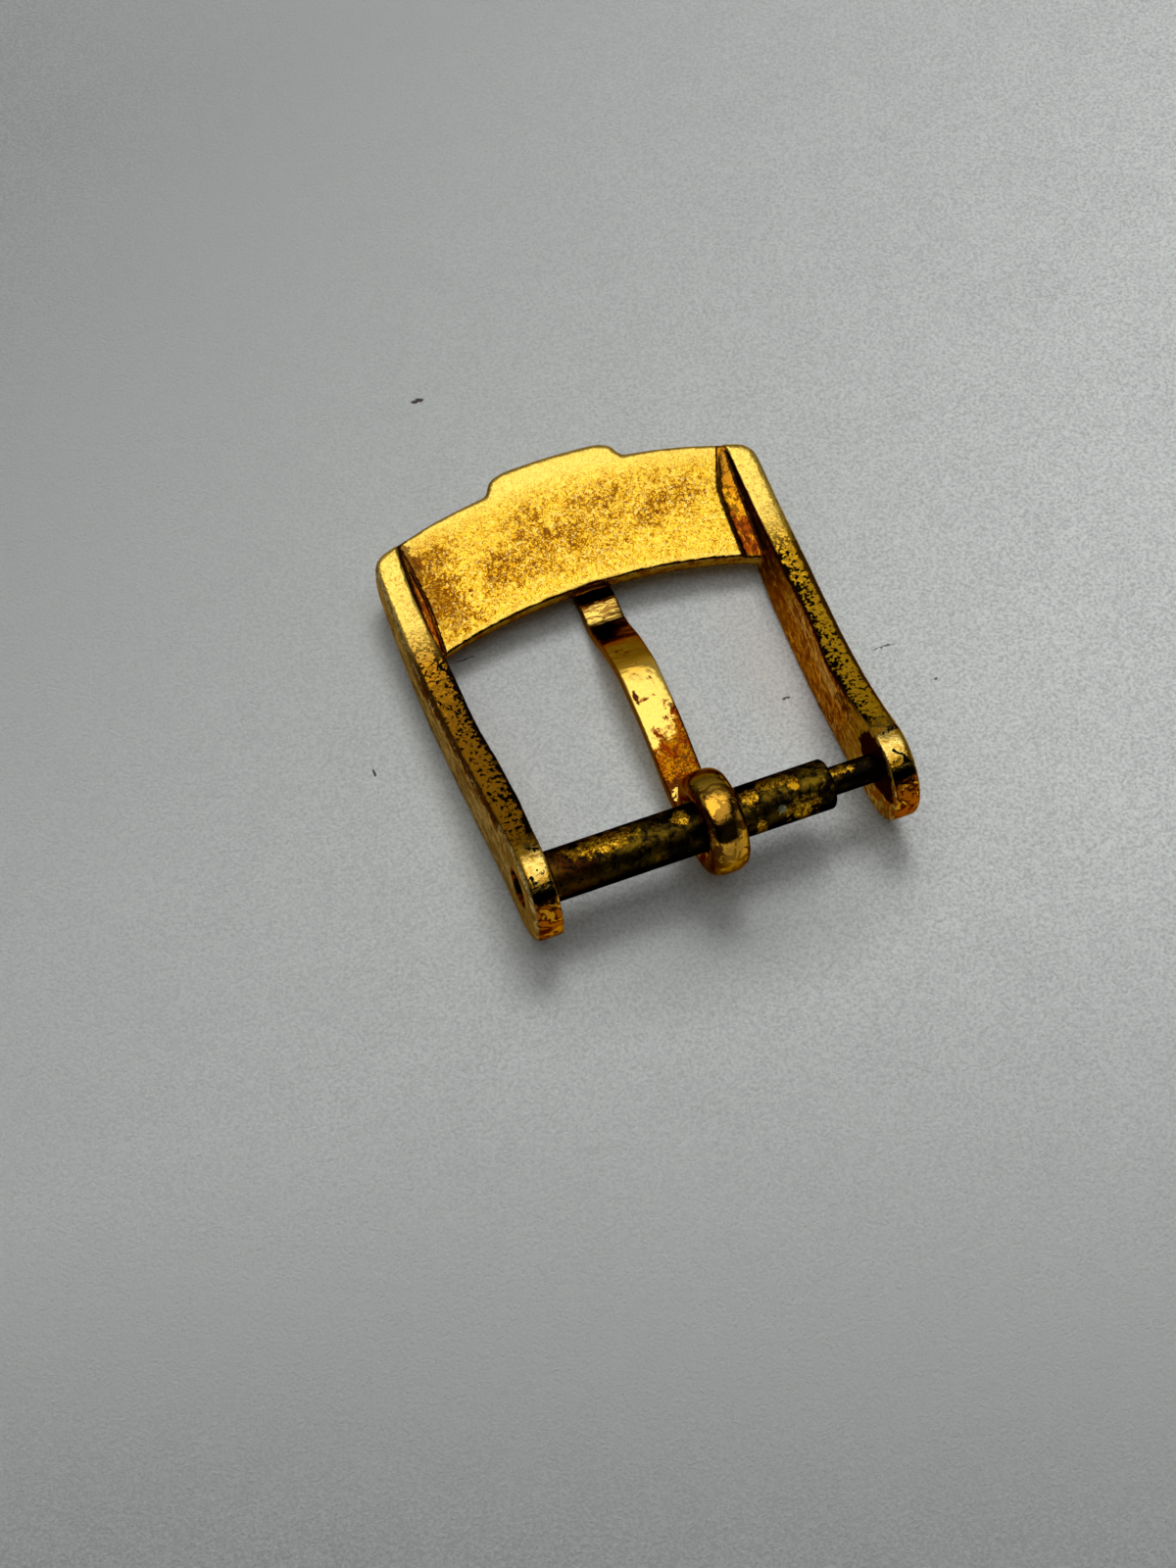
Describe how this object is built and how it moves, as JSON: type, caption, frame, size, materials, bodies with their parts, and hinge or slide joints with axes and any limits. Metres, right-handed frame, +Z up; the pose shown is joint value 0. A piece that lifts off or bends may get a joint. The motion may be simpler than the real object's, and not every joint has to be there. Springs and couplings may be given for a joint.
{
  "type": "watch strap buckle",
  "caption": "Small tongue buckle for a watch strap: curved frame with ears, wide front plate, hinged tongue and a spring bar.",
  "frame": {"origin": "on the table under the middle of the whole buckle, which lies on its convex face", "axes": "+X along the spring bar, +Y from the bar to the front plate, +Z up to the wrist side"},
  "size_m": [0.0148, 0.0176, 0.0045],
  "materials": {
    "frame_plating": "worn gold plating, tarnished and spotted",
    "tongue_plating": "worn gold plating, polished by use",
    "bar_plating": "gold tone almost covered by dark tarnish",
    "pin_plating": "dark gold tone",
    "spring_steel": "plain spring wire"
  },
  "bodies": {
    "frame": {"buckle_frame": "frame_plating"},
    "bar_tube": {"bar_tube": "bar_plating"},
    "left_pin": {"left_pin": "pin_plating", "bar_spring": "spring_steel"},
    "right_pin": {"right_pin": "pin_plating"},
    "tongue": {"tongue": "tongue_plating"}
  },
  "joints": [
    {"name": "tube_float", "type": "slide", "parent": "frame", "child": "bar_tube", "axis": [1, 0, 0], "range_m": [0, 0.00168]},
    {"name": "left_pin_press", "type": "slide", "parent": "frame", "child": "left_pin", "axis": [1, 0, 0], "range_m": [0, 0.0009], "stiffness_N_per_m": 300, "deforming": ["bar_spring"]},
    {"name": "right_pin_press", "type": "slide", "parent": "frame", "child": "right_pin", "axis": [-1, 0, 0], "range_m": [0, 0.0009], "stiffness_N_per_m": 300, "deforming": ["bar_spring"]},
    {"name": "tongue_swing", "type": "hinge", "parent": "bar_tube", "child": "tongue", "pos_m": [0, -0.00693, 0.00266], "axis": [1, 0, 0], "range_deg": [-350, 0]}
  ]
}
